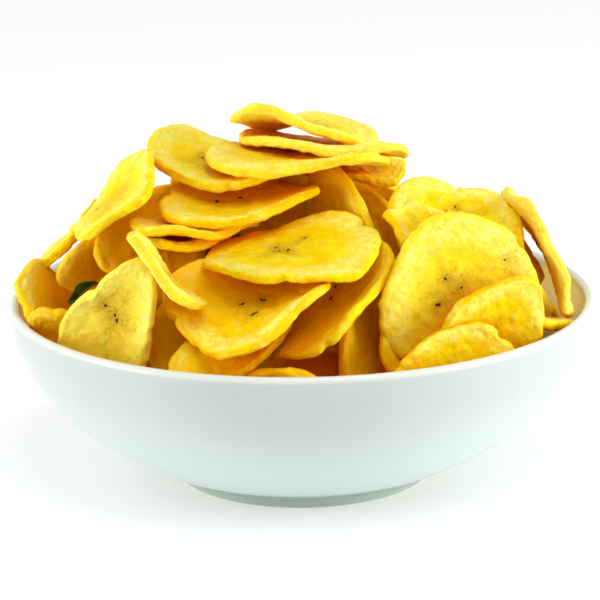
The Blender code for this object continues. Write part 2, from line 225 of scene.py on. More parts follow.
# Fine surface of the chips, heights and widths in mm: lumps, wrinkles, crumbs that are fewer
# off the rim, blisters, and a rim that is plump in places and notched at the edge. The shifts
# keep one of them from following another.
LUMP, LUMP_WIDTH = 0.32, 6.5
WRINKLE, WRINKLE_WIDTH, WRINKLE_SHIFT = 0.2, 2.0, 7.3
CRUMB, CRUMB_WIDTH, CRUMB_SHIFT = 0.16, 1.1, 31.7
CRUMB_ALL_OVER, CRUMB_ON_RIM = 0.4, 0.6
BLISTER, BLISTER_WIDTH, BLISTER_SHIFT, BLISTER_START = 0.6, 3.0, 19.1, 0.22
PLUMP, PLUMP_TURNS, PLUMP_SHIFT, PLUMP_FACES = 0.28, 2.2, 3, 2
NOTCH, NOTCH_WIDTH, NOTCH_SHIFT = 0.35, 4.5, 43.9
NOTCH_START, NOTCH_RUN = 0.85, 0.15
ACROSS_EDGE = 2.5

# Bites out of a chip's edge: how many, and their width and depth in mm
NICKS = (1, 4)
NICK_WIDE, NICK_DEEP = (0.8, 1.8), (0.5, 1.5)

# The frayed heart of a slice, in mm, and how far it is sunk
HEART_SEEDS = 3
HEART_WIDTH, HEART_FULL = 5.5, 1.4
HEART_STREAK, HEART_TURNS = 0.8, 2.5
HEART_SINK = 0.25

# Seeds that the photograph shows, on a chip's upper face: place and length in mm
SHOWN_SEEDS = {
    "crown_flat": ((-9, 8.5, 1.0),),
    "shoulder_cup": ((-6, 0, 0.9),),
    "shoulder_long": ((-6.5, 2.5, 1.0), (0, 4, 1.2)),
    "middle_flat": ((-4, 0.5, 0.9), (-2.5, -1, 0.8), (0, -2, 1.0), (3, 5, 0.8)),
    "middle_cup": ((-3, 1, 1.2), (3.5, -2, 1.7), (2, 4, 1.3), (1, 4.5, 0.8)),
    "middle_slant": ((5, 1, 0.9), (2, -1, 1.1)),
    "middle_upright": ((-2.5, 0.5, 1.2),),
    "left_high": ((-5.5, 5.5, 0.8),),
    "left_front": ((6, 4.5, 0.9), (5.5, 1, 0.8), (4, 0, 1.0)),
    "right_big": ((8.5, 0, 1.0), (4, -2, 0.8), (4.5, 6, 1.3), (1.5, -16.5, 0.6)),
    "right_high": ((-4.5, 4, 0.7), (-1.5, 7, 0.8)),
}

# Seeds laid by rule, in mm: how many may lie in each lobe round the heart of a slice, how far
# they stray from it in radians, how far out they lie and how long they are
SEED_LOBES = 3
LOBE_SEEDS = (0, 1, 1, 2, 2)
LOBE_STRAY = 0.35
SEED_NEAR, SEED_FAR = 1.8, 4.6
SEED_LENGTH = (0.6, 1.2)

# The form of every seed, and the width in mm of the stain round it
SEED_WIDTH_SHARE, SEED_HEIGHT = 0.65, 0.4
SEED_UNEVEN, SEED_UNEVEN_WIDTH = 1.3, 0.45 * MM
STAIN_WIDTH = 1.6

# How ripe the flesh is, from 0, lemon, over 0.3, usual, to 1, orange: of chips that show it in
# the photograph, and of the others by chance. On the chips that lie in shade, 0.6 to 1, the
# orange is partly painted shade, and a low tone also weakens the painted shade deep in the heap
CHIP_TONES_AND_SHADE = {
    "crown": 0.12, "crown_edge": 0.08, "crown_flat": 0.2, "crown_right": 0.3,
    "middle_flat": 0.3, "middle_slant": 0.3, "middle_upright": 0.6, "left_high": 0.25,
    "left_front": 0.0, "left_spike": 0.15, "left_back": 1.0, "left_shade": 1.0,
    "left_rim": 0.9, "right_big": 0.2, "right_outer": 0.0, "right_high": 0.35,
}
OTHER_TONES = (0.2, 1.0)

# Camera, from the ellipse that the bowl's rim makes in the photograph
TARGET_Z = 0.05
DISTANCE = 0.9
ELEVATION = 15.4
ROLL = 0.83
IMAGE_SIDE = 600
FOCAL_PIXELS = 3283
TARGET_PIXEL = (301.9, 294.0)
SENSOR_MM = 36.0

# Numbers kept at the corners of the chips' meshes, which their colour follows
CHIP_VALUES = ("reach", "lift", "heart", "stain", "tone")

# How far off, in m, other chips still count for the painted shade where they touch a chip and
# where it lies deep among them; the painted highlight of the pale fades by the same reaches
NEAR_REACH, FAR_REACH = 0.012, 0.035

# Colours, as linear red, green and blue
FLESH = {
    "yellow": (0.90, 0.61, 0.001),
    "bright": (0.92, 0.74, 0.005),
    # Painted shade: the deeper colour that the dips of the relief take on
    "hollow": (0.90, 0.47, 0.001),
    "lemon": (0.96, 0.86, 0.14),
    "orange": (0.90, 0.44, 0.001),
    "grain": (0.88, 0.53, 0.001),
    # Partly the rim's own paler flesh, partly painted highlight where a place lies raised and open
    "pale": (0.92, 0.90, 0.25),
    "crease": (0.80, 0.44, 0.002),
    "middle": (0.70, 0.44, 0.002),
    "olive": (0.62, 0.38, 0.015),
    "tan": (0.36, 0.20, 0.015),
    "freckle": (0.34, 0.16, 0.008),
    # Painted shade deep in the heap and where other chips touch
    "deep": (1.0, 0.45, 0.001),
    "touching_shade": (1.0, 0.25, 0.001),
}
GLAZE = {
    "bare": (0.70, 0.66, 0.58),
    "low": (0.58, 0.685, 0.66),
    # Painted shade: the greyer colour that the wall takes higher up
    "high": (0.485, 0.535, 0.515),
    "cloud": (0.55, 0.63, 0.61),
    # Painted contact shade at the foot
    "foot": (0.39, 0.48, 0.44),
    # Painted reflection of the yellow chips on the inside, below the lip
    "chip_reflection": (0.95, 0.86, 0.31),
    # Painted highlight along the lip
    "lip": (0.71, 0.73, 0.65),
    "speck": (0.55, 0.52, 0.46),
}
SEED_COLOURS = ((0.035, 0.013, 0.002), (0.14, 0.055, 0.008))
# Painted shade: the core's dark orange
CORE_SHADE_COLOURS = ((0.78, 0.14, 0.001), (0.92, 0.30, 0.002))
LEAF_COLOURS = ((0.020, 0.045, 0.003), (0.085, 0.080, 0.006))
LEAF_VEIN_COLOUR = (0.15, 0.15, 0.02)

# Heights in m on the bowl between which the glaze starts and its colours come in: the painted
# contact shade at the foot, the painted shade that greys the wall upwards, the painted reflection
# of the chips inside below the lip, and the painted highlight on the lip
GLAZE_HEIGHTS = {
    "start": (0.1 * MM, 0.5 * MM),
    "foot": (4.5 * MM, 2.5 * MM),
    "wall": (12.0 * MM, 46.0 * MM),
    "chip_reflection": (49.5 * MM, 46.0 * MM),
    "lip": (48.0 * MM, 49.3 * MM),
}

# How far the floor reaches from the bowl, in m
FLOOR_REACH = 6.0

# Light: how bright the room is low down towards the camera, low down behind and overhead, and
# where between these it changes; the soft lights' places in m, sides in m and powers in W
ROOM_FRONT, ROOM_BACK, ROOM_ABOVE = 0.25, 0.85, 0.72
ROOM_DEPTHS, ROOM_RISES = (-1.0, 0.3), (0.30, 0.80)
SOFTBOXES = {
    "left_light": ((-0.95, -0.25, 0.10), 0.6, 8.5),
    "right_light": ((0.95, -0.20, 0.10), 0.6, 11.3),
    "top_light": ((0.15, -0.50, 1.0), 0.6, 3.8),
}


# ---- Bowl profile ----

def wall_point(climb):
    """Outer wall from the foot joint (0) to the lip (1), as radius and height."""
    angle = climb * math.pi / 2
    top = BOWL_HEIGHT - WALL / 2
    radius = FOOT_RADIUS + (BOWL_RADIUS - FOOT_RADIUS) * math.sin(angle) ** FLARE_OUT
    height = top - (top - FOOT_HEIGHT) * math.cos(angle) ** FLARE_UP
    return Vector((radius, height))


def inner_point(climb, inset):
    """The wall moved in, square to itself, and never below the floor."""
    step = 0.002
    along = wall_point(min(climb + step, 1.0)) - wall_point(max(climb - step, 0.0))
    along.normalize()
    point = wall_point(climb) + inset * Vector((-along.y, along.x))
    point.y = max(point.y, FLOOR_Z + inset - WALL)
    return point


def spaced(count):
    """Even steps from 0 to 1, both ends included."""
    return [i / (count - 1) for i in range(count)]


def bowl_profile(wall_steps, lip_steps):
    """Closed section, from the middle of the floor over the lip to the middle below."""
    points = [Vector((0, FLOOR_Z))]
    points += [inner_point(climb, WALL) for climb in spaced(wall_steps)]
    lip = Vector((BOWL_RADIUS - WALL / 2, BOWL_HEIGHT - WALL / 2))
    for i in range(1, lip_steps):
        angle = math.pi * (1 - i / lip_steps)
        points.append(lip + WALL / 2 * Vector((math.cos(angle), math.sin(angle))))
    points += [wall_point(climb) for climb in reversed(spaced(wall_steps))]
    foot_inside = FOOT_RADIUS - FOOT_WIDTH
    points += [
        Vector((FOOT_RADIUS - FOOT_CHAMFER, FOOT_CHAMFER)),
        Vector((FOOT_RADIUS - 2 * FOOT_CHAMFER, 0)),
        Vector((foot_inside, 0)),
        Vector((foot_inside - FOOT_CHAMFER, FOOT_RECESS)),
        Vector((0, FOOT_RECESS)),
    ]
    return points


def core_profile(wall_steps, rows, top, fall):
    """Closed section of the core: a low dome down to the wall, then the wall to the floor."""
    wall = [inner_point(climb, WALL + CORE_GAP) for climb in spaced(wall_steps)]
    wall = [point for point in wall if point.y < CORE_EDGE_Z]
    edge = wall[-1]
    dome = []
    for i in range(rows):
        angle = math.pi / 2 * i / rows
        height = edge.y + (top - edge.y) * math.cos(angle) ** fall
        dome.append(Vector((edge.x * math.sin(angle), height)))
    return dome + list(reversed(wall)) + [Vector((0, wall[0].y))]


@cache
def free_wall():
    """Heights and radii of the line inside the bowl that the chips stay within."""
    inset = WALL + CORE_GAP + SWELL
    wall = [inner_point(climb, inset) for climb in spaced(4 * WALL_STEPS)]
    return [point.y for point in wall], [point.x for point in wall]


def in_bowl(corners):
    """Whether corners, one to a row, stay clear of the bowl's wall and its lip."""
    heights, radii = free_wall()
    across, height = np.hypot(corners[:, 0], corners[:, 1]), corners[:, 2]
    above = height > BOWL_HEIGHT + CORE_GAP + SWELL
    within = (across < np.interp(height, heights, radii)) & (height > heights[0])
    return bool(np.all(above | within))


# ---- Form and places of the chips, as in the solids ----

def smooth(share):
    """A soft step from 0 to 1."""
    share = min(max(share, 0.0), 1.0)
    return share * share * (3 - 2 * share)


def half_thickness(reach, power):
    """Half the thickness from the middle (reach 0) to the edge (reach 1)."""
    if reach > RIM_CREST:
        fall = (reach - RIM_CREST) / (1 - RIM_CREST)
        return RIM_HALF * max(0.0, 1 - fall ** power) ** (1 / power)
    rise = smooth((reach - RIM_START) / (RIM_CREST - RIM_START))
    return MIDDLE_HALF + (RIM_HALF - MIDDLE_HALF) * rise


def chip_pose(chip):
    """Place and lean of a chip as one matrix, in metres."""
    turn, rise, spin = (math.radians(angle) for angle in chip.lean)
    return (
        Matrix.Translation(Vector(chip.place) * MM)
        @ Matrix.Rotation(turn, 4, "Z")
        @ Matrix.Rotation(math.pi / 2 - rise, 4, "X")
        @ Matrix.Rotation(spin, 4, "Z")
    )


def chip_waves(chip):
    """The waves of a chip's outline, and the ripples of its face, as count, size and shift."""
    rng = random.Random(chip.name)
    waves = [(n, size * rng.uniform(*UNEVEN_PART), rng.uniform(0, math.tau)) for n, size in UNEVEN]
    return waves, (rng.choice(RIPPLES), RIPPLE, rng.uniform(0, math.tau))


def press_chip(mesh, chip, power):
    """Press a unit sphere's vertices flat into the uneven, bent slice of a chip."""
    waves, (ripples, ripple, ripple_shift) = chip_waves(chip)
    half_long, half_wide = (size * MM / 2 for size in chip.size)
    curl, cross, twist = (bend * MM for bend in chip.bend)
    pose = chip_pose(chip)
    for vertex in mesh.verts:
        reach = min(math.hypot(vertex.co.x, vertex.co.y), 1.0)
        angle = math.atan2(vertex.co.y, vertex.co.x)
        edge = reach * (1 + sum(size * math.cos(n * angle + shift) for n, size, shift in waves))
        u, v = edge * math.cos(angle), edge * math.sin(angle)
        lift = curl * u * u + cross * v * v + twist * u * v
        lift += ripple * reach ** 3 * math.cos(ripples * angle + ripple_shift)
        slope = Vector((
            -(2 * curl * u + twist * v) / half_long,
            -(2 * cross * v + twist * u) / half_wide,
            1,
        )).normalized()
        side = (vertex.co.z > ON_EDGE) - (vertex.co.z < -ON_EDGE)
        middle = Vector((half_long * u, half_wide * v * (1 + chip.taper * u), lift))
        vertex.co = pose @ (middle + slope * side * half_thickness(reach, power))


def surface_z(distance):
    """Height in mm of the ruled part of the heap at a distance in mm from the axis."""
    fall = (distance / HEAP_RADIUS) ** HEAP_FALL
    return HEAP_EDGE_Z + (HEAP_TOP_Z - HEAP_EDGE_Z) * (1 - fall)


def ruled_chip(rng, name, azimuth, distance, rise, drop):
    """A chip of the ruled part, lying near the heap's surface and leaning outwards."""
    height = surface_z(distance) - drop
    place = (distance * math.sin(azimuth), -distance * math.cos(azimuth), height)
    lean = (
        math.degrees(azimuth) + rng.uniform(-TURN_SPREAD, TURN_SPREAD),
        rise + rng.uniform(-RISE_SPREAD, RISE_SPREAD),
        rng.uniform(0, 180),
    )
    size = (rng.uniform(*FILLER_LONG), rng.uniform(*FILLER_WIDE))
    bend = [rng.uniform(-BEND_SPREAD, BEND_SPREAD) for _ in range(3)]
    taper = rng.uniform(-TAPER_SPREAD, TAPER_SPREAD)
    chip = Chip(name, place, lean, size, bend, taper)
    return slid(chip, FRONT_DEPTH * max(0.0, math.cos(azimuth / 2)) ** 2)


def inwards(chip, depth):
    """The move, in mm, that takes a chip a depth closer to the heart of the heap."""
    return (HEAP_HEART - Vector(chip.place)).normalized() * depth


def slid(chip, depth):
    """The chip moved a depth closer to the heart of the heap."""
    return chip._replace(place=Vector(chip.place) + inwards(chip, depth))


def shell(chip, sides, bands):
    """A chip's corners, one to a row, and its faces, to test where it fits."""
    mesh = bmesh.new()
    bmesh.ops.create_uvsphere(mesh, u_segments=sides, v_segments=bands, radius=1.0)
    press_chip(mesh, chip, EDGE_POWER)
    corners = np.array([vertex.co for vertex in mesh.verts])
    faces = [[vertex.index for vertex in face.verts] for face in mesh.faces]
    mesh.free()
    return corners, faces


def settle(chip, placed):
    """Slide a ruled chip inwards to the first place where it just bites into another."""
    corners, faces = shell(chip, FILLER_SIDES, FILLER_BANDS)
    was_held, was_tree = None, None
    for step in range(SLIDE_STEPS):
        depth = step * SLIDE_STEP
        moved = corners + np.array(inwards(chip, depth)) * MM
        tree = BVHTree.FromPolygons(moved.tolist(), faces)
        held = any(tree.overlap(other) for other in placed) if in_bowl(moved) else None
        if was_held is True and held is False:
            placed.append(was_tree)
            return slid(chip, depth - SLIDE_STEP)
        if was_held is False and held is True:
            placed.append(tree)
            return slid(chip, depth)
        was_held, was_tree = held, tree
    return None


def ruled_chips(core):
    """The chips of the back, the sides and the gaps, laid ring by ring."""
    rng = random.Random(SEED)
    placed = [BVHTree.FromObject(core, bpy.context.evaluated_depsgraph_get())]
    for chip in FRONT_CHIPS:
        corners, faces = shell(chip, FRONT_SIDES, FRONT_BANDS)
        placed.append(BVHTree.FromPolygons(corners.tolist(), faces))
    chips = []
    for ring, (distance, count, rise, drop) in enumerate(RINGS):
        start = rng.uniform(0, math.tau)
        for i in range(count):
            azimuth = math.remainder(start + math.tau * i / count, math.tau)
            for _ in range(TRIES):
                chip = ruled_chip(rng, f"ring{ring}_{i}", azimuth, distance, rise, drop)
                chip = settle(chip, placed)
                if chip:
                    chips.append(chip)
                    break
    return chips


# ---- Objects ----

def new_object(name, mesh):
    """A bmesh handed over to a new object in the scene."""
    data = bpy.data.meshes.new(name)
    mesh.to_mesh(data)
    mesh.free()
    made = bpy.data.objects.new(name, data)
    bpy.context.scene.collection.objects.link(made)
    return made


def turned(name, profile, steps):
    """A section swept once round the Z axis."""
    mesh = bmesh.new()
    line = [mesh.verts.new((point.x, 0, point.y)) for point in profile]
    for start, end in zip(line, line[1:]):
        mesh.edges.new((start, end))
    made = new_object(name, mesh)
    screw = made.modifiers.new("Turn", "SCREW")
    screw.steps = screw.render_steps = steps
    screw.use_merge_vertices = True
    screw.merge_threshold = MERGE
    screw.use_smooth_shade = True
    return made


def applied(made):
    """Give an object the mesh that its modifiers make."""
    graph = bpy.context.evaluated_depsgraph_get()
    made.data = bpy.data.meshes.new_from_object(made.evaluated_get(graph))
    made.modifiers.clear()
    return made


def mark(data, title, numbers):
    """Keep one number at each corner of a mesh, for its material."""
    data.attributes.new(title, "FLOAT", "POINT").data.foreach_set("value", numbers)


def dress(made, material, slot, *nodes):
    """Finish a piece: its material, its body and the nodes that it stands for. Its slot is not
    used.
    """
    made.data.materials.clear()
    made.data.materials.append(material)
    made.data.shade_smooth()
    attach(made, "root")
    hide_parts(*nodes)
    return made


# ---- Fine surface of the chips ----

Seed = namedtuple("Seed", "x y side length")
Speck = namedtuple("Speck", "place normal turn length")


def relief(place, level, reach, offset):
    """Height in mm of the uneven surface at a place in mm on a chip.

    The level runs from 1 in the middle of one face, over 0 at the edge, to -1 on the other.
    """
    third = level * ACROSS_EDGE + offset

    def waves(width, shift=0.0):
        """Noise of a width in mm, from -1 to 1."""
        return noise.noise(Vector((place.x / width + shift, place.y / width, third + shift)))

    rim = smooth((reach - RIM_START) / (RIM_CREST - RIM_START))
    edge = smooth((reach - NOTCH_START) / NOTCH_RUN)
    around = Vector((place.x, place.y, 0)).normalized() * PLUMP_TURNS
    face = Vector((0, 0, PLUMP_SHIFT * offset + math.copysign(PLUMP_FACES, level)))
    height = LUMP * waves(LUMP_WIDTH)
    height += WRINKLE * waves(WRINKLE_WIDTH, WRINKLE_SHIFT)
    height += CRUMB * (CRUMB_ALL_OVER + CRUMB_ON_RIM * rim) * waves(CRUMB_WIDTH, CRUMB_SHIFT)
    height += BLISTER * max(0.0, waves(BLISTER_WIDTH, BLISTER_SHIFT) - BLISTER_START)
    height += PLUMP * rim * noise.noise(around + face)
    height += NOTCH * edge * waves(NOTCH_WIDTH, NOTCH_SHIFT)
    return height


def nicks(chip):
    """Small bites out of a chip's edge: direction in radians, width and depth in mm."""
    rng = random.Random(chip.name + "_nicks")
    return [
        (rng.uniform(0, math.tau), rng.uniform(*NICK_WIDE), rng.uniform(*NICK_DEEP))
        for _ in range(rng.randint(*NICKS))
    ]


def nicked(place, reach, bites):
    """How far in mm the nicks pull a place in mm towards the middle of the chip."""
    if reach < RIM_START:
        return Vector((0, 0, 0))
    out = Vector((place.x, place.y, 0))
    angle = math.atan2(place.y, place.x)
    depth = sum(
        deep * math.exp(-(math.remainder(angle - turn, math.tau) * out.length / wide) ** 2)
        for turn, wide, deep in bites
    )
    return out.normalized() * -depth * smooth((reach - RIM_START) / (1 - RIM_START))


def seeds_of(chip):
    """The seeds on the two faces of a chip: those that show, and others laid by rule."""
    rng = random.Random(chip.name + "_seeds")
    stretch = chip.size[0] / chip.size[1]
    turn = rng.uniform(0, math.tau)
    laid = []
    for side in (1, -1):
        for lobe in range(SEED_LOBES):
            for _ in range(rng.choice(LOBE_SEEDS)):
                stray = rng.uniform(-LOBE_STRAY, LOBE_STRAY)
                angle = turn + math.tau * lobe / SEED_LOBES + stray
                far = rng.uniform(SEED_NEAR, SEED_FAR)
                place = (far * math.cos(angle) * stretch, far * math.sin(angle))
                laid.append(Seed(*place, side, rng.uniform(*SEED_LENGTH)))
    if chip.name.startswith("ring"):
        return laid
    shown = [Seed(x, y, 1, length) for x, y, length in SHOWN_SEEDS.get(chip.name, ())]
    return shown + [seed for seed in laid if seed.side < 0]


def heart_of(seeds):
    """The middle of a slice's heart, in mm: the middle of its first seeds."""
    first = seeds[:HEART_SEEDS] or [Seed(0, 0, 1, 0)]
    return Vector((sum(seed.x for seed in first), sum(seed.y for seed in first), 0)) / len(first)


def heart_share(place, heart, offset):
    """How far a place in mm belongs to the heart of the slice, which is frayed outwards."""
    away = Vector((place.x, place.y, 0)) - heart
    fray = noise.noise(away.normalized() * HEART_TURNS + Vector((0, 0, offset)))
    return smooth(HEART_FULL - away.length / HEART_WIDTH + HEART_STREAK * fray)


def stain_share(place, level, seeds):
    """How near a place in mm lies to a seed on its own face."""
    near = (
        math.exp(-((place.x - seed.x) ** 2 + (place.y - seed.y) ** 2) / STAIN_WIDTH ** 2)
        for seed in seeds if seed.side * level > 0
    )
    return min(sum(near), 1.0)


def tone_of(chip):
    """How ripe a chip's flesh is, from 0, lemon, to 1, orange, which on listed chips in shade is
    partly painted shade.
    """
    by_chance = random.Random(chip.name + "_tone").uniform(*OTHER_TONES)
    return CHIP_TONES_AND_SHADE.get(chip.name, by_chance)


def fine_chip(chip, ball):
    """A chip's fine mesh, the values that its colour follows, and its seeds' places."""
    mesh = ball.copy()
    levels = [vertex.co.z for vertex in mesh.verts]
    reaches = [min(math.hypot(vertex.co.x, vertex.co.y), 1.0) for vertex in mesh.verts]
    press_chip(mesh, chip, FINE_EDGE_POWER)
    mesh.normal_update()
    pose = chip_pose(chip)
    places = [pose.inverted() @ vertex.co / MM for vertex in mesh.verts]
    offset = random.Random(chip.name + "_relief").uniform(0, 100)
    seeds, bites = seeds_of(chip), nicks(chip)
    heart = heart_of(seeds)
    values = {
        "reach": reaches,
        "lift": [relief(*row, offset) for row in zip(places, levels, reaches)],
        "heart": [heart_share(place, heart, offset) for place in places],
        "stain": [stain_share(place, level, seeds) for place, level in zip(places, levels)],
        "tone": [tone_of(chip)] * len(places),
    }
    for i, vertex in enumerate(mesh.verts):
        vertex.co += vertex.normal * (values["lift"][i] - HEART_SINK * values["heart"][i]) * MM
        vertex.co += pose.to_3x3() @ nicked(places[i], reaches[i], bites) * MM
    mesh.normal_update()
    return mesh, values, specks_of(chip, mesh, places, levels, seeds)


def specks_of(chip, mesh, places, levels, seeds):
    """Where the seeds of a chip sit on its fine surface."""
    rng = random.Random(chip.name + "_specks")
    mesh.verts.ensure_lookup_table()
    specks = []
    for seed in seeds:
        nearest = min(
            (i for i, level in enumerate(levels) if seed.side * level > 0),
            key=lambda i: (places[i].x - seed.x) ** 2 + (places[i].y - seed.y) ** 2,
        )
        vertex = mesh.verts[nearest]
        turn = rng.uniform(0, math.tau)
        specks.append(Speck(vertex.co.copy(), vertex.normal.copy(), turn, seed.length))
    return specks


def fine_ball(level):
    """A unit sphere of even triangles."""
    mesh = bmesh.new()
    bmesh.ops.create_icosphere(mesh, subdivisions=level, radius=1.0)
    return mesh


def is_plain(chip):
    """Whether a chip is hidden enough in the photograph to be made less finely."""
    return chip.name in HIDDEN or chip.name.startswith("ring")


def joined_chips(name, chips, balls):
    """Fine chips as one piece, with the values that their colour follows, and their specks."""
    corners, faces, specks = [], [], []
    values = {title: [] for title in CHIP_VALUES}
    for chip in chips:
        ball = balls[PLAIN_LEVEL if is_plain(chip) else FINE_LEVEL]
        mesh, chip_values, chip_specks = fine_chip(chip, ball)
        start = len(corners)
        corners += [vertex.co[:] for vertex in mesh.verts]
        faces += [[start + vertex.index for vertex in face.verts] for face in mesh.faces]
        specks += chip_specks
        for title in values:
            values[title] += chip_values[title]
        mesh.free()
    data = bpy.data.meshes.new(name)
    data.from_pydata(corners, [], faces)
    for title, numbers in values.items():
        mark(data, title, numbers)
    made = bpy.data.objects.new(name, data)
    bpy.context.scene.collection.objects.link(made)
    return made, specks


def seed_mesh(name, specks):
    """All the seeds as one piece, each a small uneven lens sunk in its chip."""
    whole = bmesh.new()
    for speck in specks:
        facing = speck.normal.to_track_quat("Z", "Y").to_matrix().to_4x4()
        half = speck.length * MM / 2
        size = Matrix.Diagonal((half, half * SEED_WIDTH_SHARE, SEED_HEIGHT * MM / 2, 1))
        turned_to = facing @ Matrix.Rotation(speck.turn, 4, "Z")
        matrix = Matrix.Translation(speck.place) @ turned_to @ size
        made = bmesh.ops.create_icosphere(whole, subdivisions=2, radius=1.0, matrix=matrix)
        for vertex in made["verts"]:
            away = vertex.co - speck.place
            vertex.co += away * SEED_UNEVEN * noise.noise(vertex.co / SEED_UNEVEN_WIDTH)
    return new_object(name, whole)


# ---- Materials ----

class Nodes:
    """The nodes of a new material or world, with short ways to add and join them."""

    def __init__(self, name, kind="materials", shader="Principled BSDF"):
        """Make the material or world, and find the shader that it starts with."""
        self.owner = getattr(bpy.data, kind).new(name)
        self.owner.use_nodes = True
        self.tree = self.owner.node_tree
        self.shader = self.tree.nodes[shader]

    def put(self, value, socket):
        """Set an input to a number or a colour, or join an output to it."""
        if isinstance(value, (int, float)):
            socket.default_value = value
        elif isinstance(value, tuple):
            socket.default_value = (*value, 1) if socket.type == "RGBA" else value
        else:
            self.tree.links.new(value, socket)

    def add(self, kind, **values):
        """A node of a kind; a value goes to an input if it has that name, else to the node."""
        node = self.tree.nodes.new(kind)
        for name, value in values.items():
            title = name.replace("_", " ")
            if title in node.inputs:
                self.put(value, node.inputs[title])
            else:
                setattr(node, name, value)
        return node

    def place(self):
        """Places in the object's own metres."""
        return self.add("ShaderNodeTexCoord").outputs["Object"]

    def noise(self, width, detail=3.0, roughness=0.55):
        """Noise with features of a width in mm."""
        node = self.add("ShaderNodeTexNoise", Vector=self.place(), Scale=1 / (width * MM),
                        Detail=detail, Roughness=roughness)
        return node.outputs["Fac"]

    def attribute(self, name):
        """A number kept at the mesh's corners."""
        return self.add("ShaderNodeAttribute", attribute_name=name).outputs["Fac"]

    def math(self, operation, first, second=0.0):
        """A sum on outputs or plain numbers."""
        node = self.add("ShaderNodeMath", operation=operation)
        self.put(first, node.inputs[0])
        self.put(second, node.inputs[1])
        return node.outputs[0]

    def times(self, first, second):
        """The product of two outputs or plain numbers."""
        return self.math("MULTIPLY", first, second)

    def span(self, value, low, high, to_low=0.0, to_high=1.0):
        """A value's stretch from low to high, laid smoothly over another."""
        node = self.add("ShaderNodeMapRange", interpolation_type="SMOOTHSTEP", Value=value,
                        From_Min=low, From_Max=high, To_Min=to_low, To_Max=to_high)
        return node.outputs["Result"]

    def mix(self, share, first, second):
        """One colour laid over another: a mix node's inputs 6 and 7 and output 2 are colours."""
        node = self.add("ShaderNodeMix", data_type="RGBA")
        for number, value in ((0, share), (6, first), (7, second)):
            self.put(value, node.inputs[number])
        return node.outputs[2]

    def layered(self, colour, layers):
        """A colour with others laid over it in turn, each by its share."""
        for share, over in layers:
            colour = self.mix(share, colour, over)
        return colour

    def openness(self, reach):
        """How open a place is, from 0 to 1, to what lies within a reach in m."""
        return self.add("ShaderNodeAmbientOcclusion", Distance=reach, samples=8).outputs["AO"]

    def bump(self, height, distance, under=None):
        """A bump of a distance in mm, over another one if given."""
        node = self.add("ShaderNodeBump", Strength=1.0, Distance=distance * MM, Height=height)
        if under:
            self.put(under, node.inputs["Normal"])
        return node.outputs["Normal"]

    def finish(self, **inputs):
        """Set or join the shader's inputs, and give the material or world."""
        for name, value in inputs.items():
            self.put(value, self.shader.inputs[name.replace("_", " ")])
        return self.owner


Skin = namedtuple("Skin", (
    *CHIP_VALUES, "patches", "blotches", "grain", "flecks", "creases", "open_near", "open_far",
))


def chip_skin(nodes):
    """What a chip's colour follows: its mesh's values, noises, and how open a place is."""
    return Skin(
        *(nodes.attribute(name) for name in CHIP_VALUES),
        patches=nodes.noise(8.0),
        blotches=nodes.noise(3.0, detail=5.0, roughness=0.65),
        grain=nodes.noise(1.0, detail=4.0, roughness=0.7),
        flecks=nodes.noise(0.7),
        creases=nodes.noise(5.0, detail=4.0),
        open_near=nodes.openness(NEAR_REACH),
        open_far=nodes.openness(FAR_REACH),
    )


def flesh_layers(nodes, skin):
    """Deeper colour in the hollows as painted shade, deeper grain, and the lemon or the orange that
    a chip's tone brings.
    """
    return [
        (nodes.span(skin.lift, -0.05, -0.35, 0.0, 0.4), FLESH["hollow"]),
        (nodes.span(skin.tone, 0.3, 0.0, 0.0, 0.55), FLESH["lemon"]),
        (nodes.span(skin.tone, 0.5, 1.0, 0.0, 0.4), FLESH["orange"]),
        (nodes.span(skin.grain, 0.50, 0.30, 0.0, 0.25), FLESH["grain"]),
    ]


def pale_and_highlight_share(nodes, skin):
    """How pale a place is, partly the paler rim and partly painted highlight: on raised blisters
    and in a band round the rim, only where it lies open to light.
    """
    raised, blotched = nodes.span(skin.lift, -0.10, 0.30), nodes.span(skin.blotches, 0.42, 0.68)
    # Painted highlight on the raised blisters; the rim band is partly painted highlight too
    blister = nodes.times(nodes.times(raised, blotched), 0.5)
    band = nodes.times(nodes.span(skin.reach, 0.58, 0.80), nodes.span(skin.reach, 1.0, 0.93))
    band = nodes.times(band, nodes.span(skin.blotches, 0.36, 0.66, 0.2, 0.75))
    pale = nodes.math("MAXIMUM", blister, band)
    pale = nodes.times(pale, nodes.span(skin.grain, 0.30, 0.60, 0.65, 1.0))
    near, far = nodes.span(skin.open_near, 0.40, 0.85), nodes.span(skin.open_far, 0.3, 0.7)
    return nodes.times(pale, nodes.times(near, far))


def crease_share(nodes, skin):
    """How far a place lies in one of the fine creases, which come in patches."""
    away = nodes.math("ABSOLUTE", nodes.math("SUBTRACT", skin.creases, 0.5))
    crease = nodes.span(away, 0.0, 0.025, 0.5, 0.0)
    return nodes.times(crease, nodes.span(skin.patches, 0.4, 0.6))


def heart_layers(nodes, skin):
    """A duller middle, an olive heart with freckles in it, and tan stains round the seeds."""
    inner = nodes.span(skin.reach, 0.65, 0.20)
    blotched = nodes.span(skin.blotches, 0.35, 0.60, 0.15, 0.4)
    olive = nodes.times(skin.heart, nodes.span(skin.grain, 0.30, 0.65, 0.2, 0.7))
    tan = nodes.times(skin.stain, nodes.span(skin.flecks, 0.35, 0.60, 0.15, 0.7))
    freckles = nodes.times(nodes.span(skin.heart, 0.0, 0.6), nodes.span(skin.flecks, 0.58, 0.68))
    return [
        (nodes.times(inner, blotched), FLESH["middle"]),
        (olive, FLESH["olive"]),
        (tan, FLESH["tan"]),
        (nodes.times(freckles, 0.6), FLESH["freckle"]),
    ]


